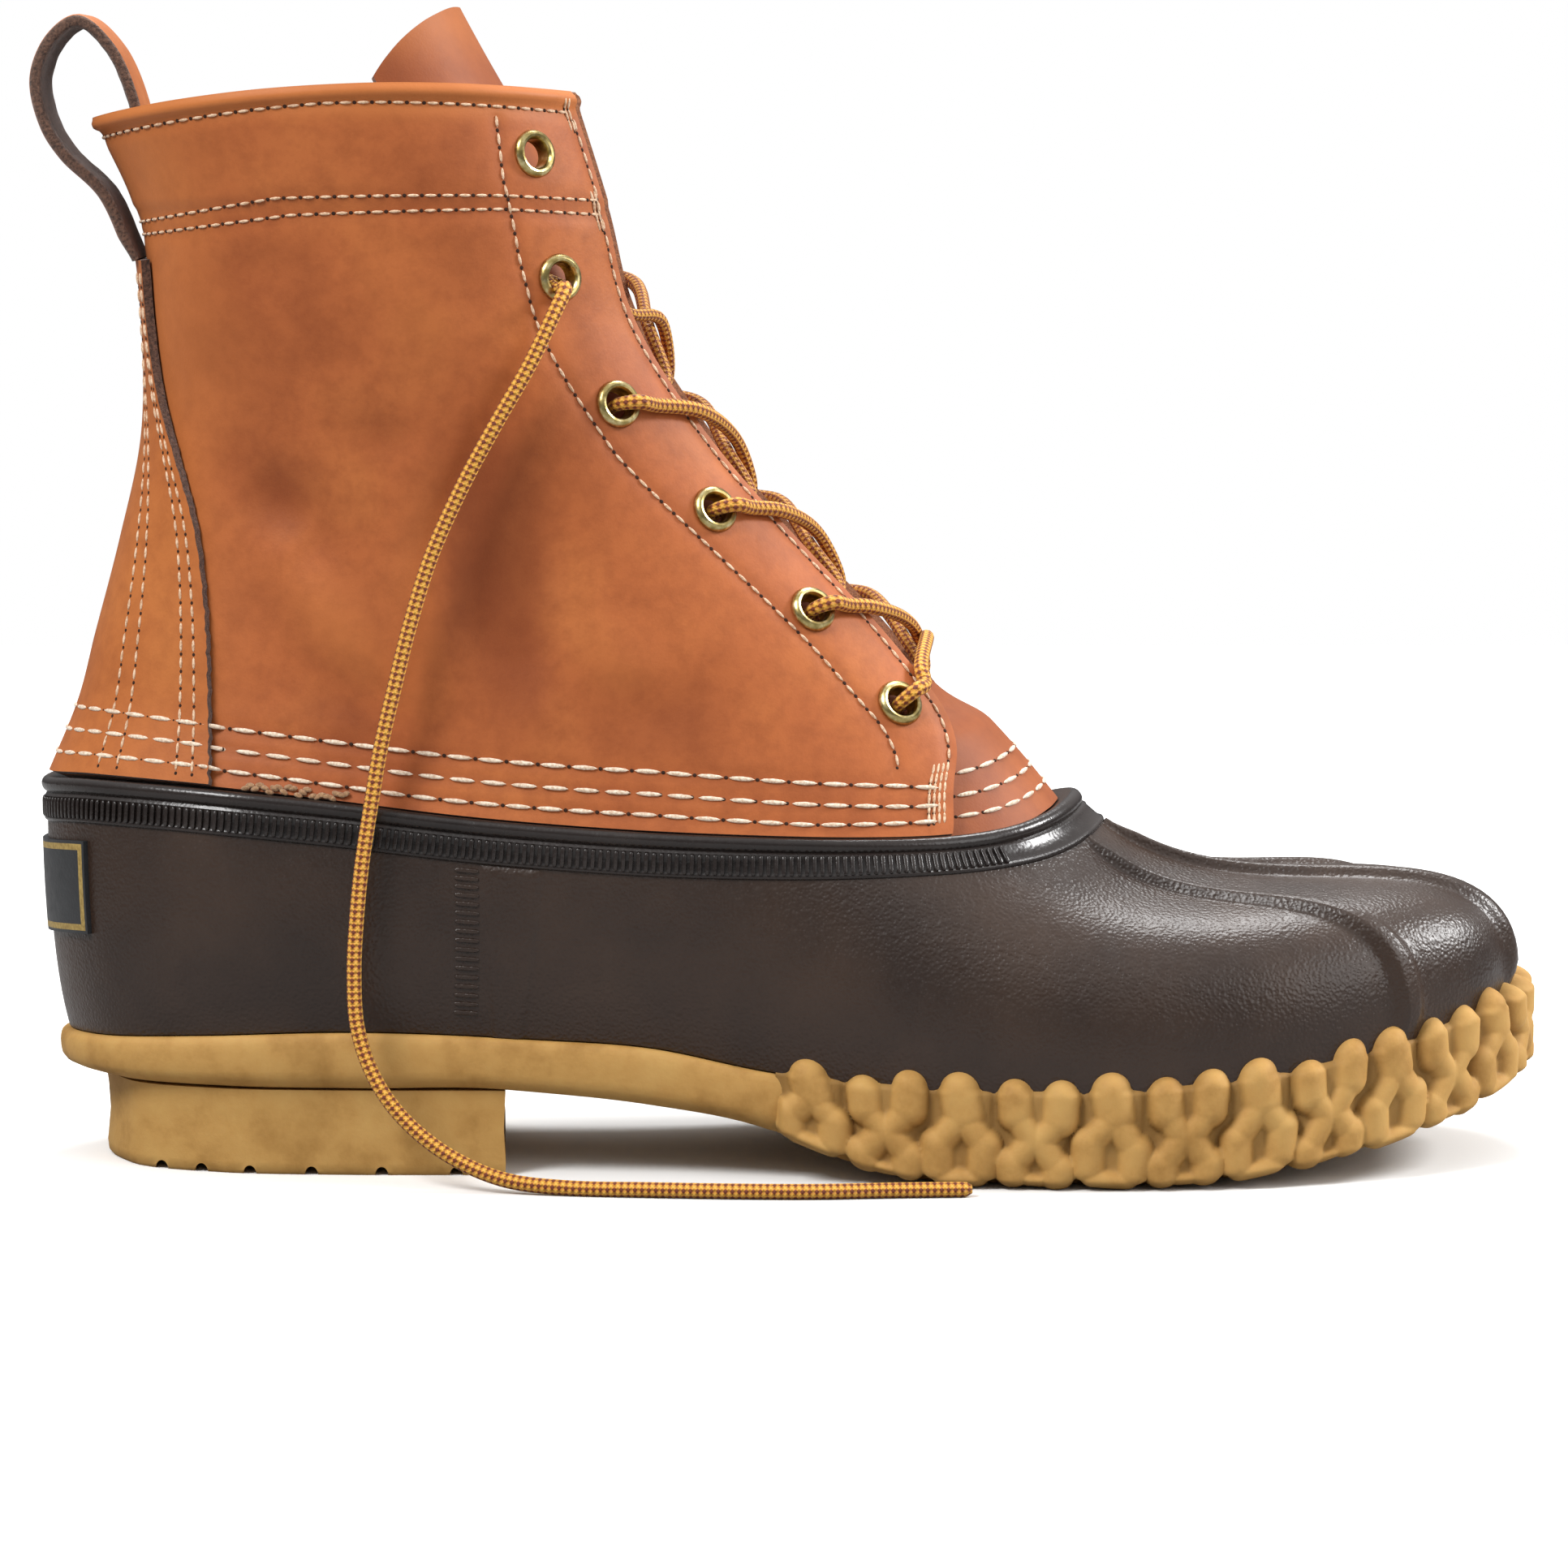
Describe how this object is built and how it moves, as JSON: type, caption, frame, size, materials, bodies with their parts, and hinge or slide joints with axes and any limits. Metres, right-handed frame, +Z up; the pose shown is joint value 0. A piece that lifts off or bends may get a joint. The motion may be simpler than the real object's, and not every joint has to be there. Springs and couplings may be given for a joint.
{
  "type": "duck boot",
  "caption": "Right ankle-high duck boot: moulded rubber bottom with a chain tread sole, laced leather shaft with open collar, tongue and pull loop; stands empty with its lace end hanging.",
  "frame": {"origin": "on the floor under the middle of the boot", "axes": "+X from heel to toe, +Y to the inner (big toe) side, +Z up"},
  "size_m": [0.3028, 0.1119, 0.2303],
  "materials": {
    "sole": "matt tan crepe",
    "footbed": "matt",
    "shell": "satin, fine pebble",
    "leather": "oiled full grain",
    "strap": "rough edge",
    "label": "satin",
    "eyelet": "antique brass",
    "lace": "braided, waxed"
  },
  "bodies": {
    "root": {"outsole": "sole", "heel": "sole", "insole": "footbed", "rubber_shell": "shell", "leather_shaft": "leather", "tongue": "leather", "backstay": "leather", "pull_loop": "strap", "heel_label": "label", "eyelet_outer_1": "eyelet", "eyelet_outer_2": "eyelet", "eyelet_outer_3": "eyelet", "eyelet_outer_4": "eyelet", "eyelet_outer_5": "eyelet", "eyelet_outer_6": "eyelet", "eyelet_inner_1": "eyelet", "eyelet_inner_2": "eyelet", "eyelet_inner_3": "eyelet", "eyelet_inner_4": "eyelet", "eyelet_inner_5": "eyelet", "eyelet_inner_6": "eyelet", "lace_crossing_1": "lace", "lace_crossing_2": "lace", "lace_crossing_3": "lace", "lace_crossing_4": "lace", "lace_bar": "lace", "lace_end": "lace"}
  },
  "joints": []
}
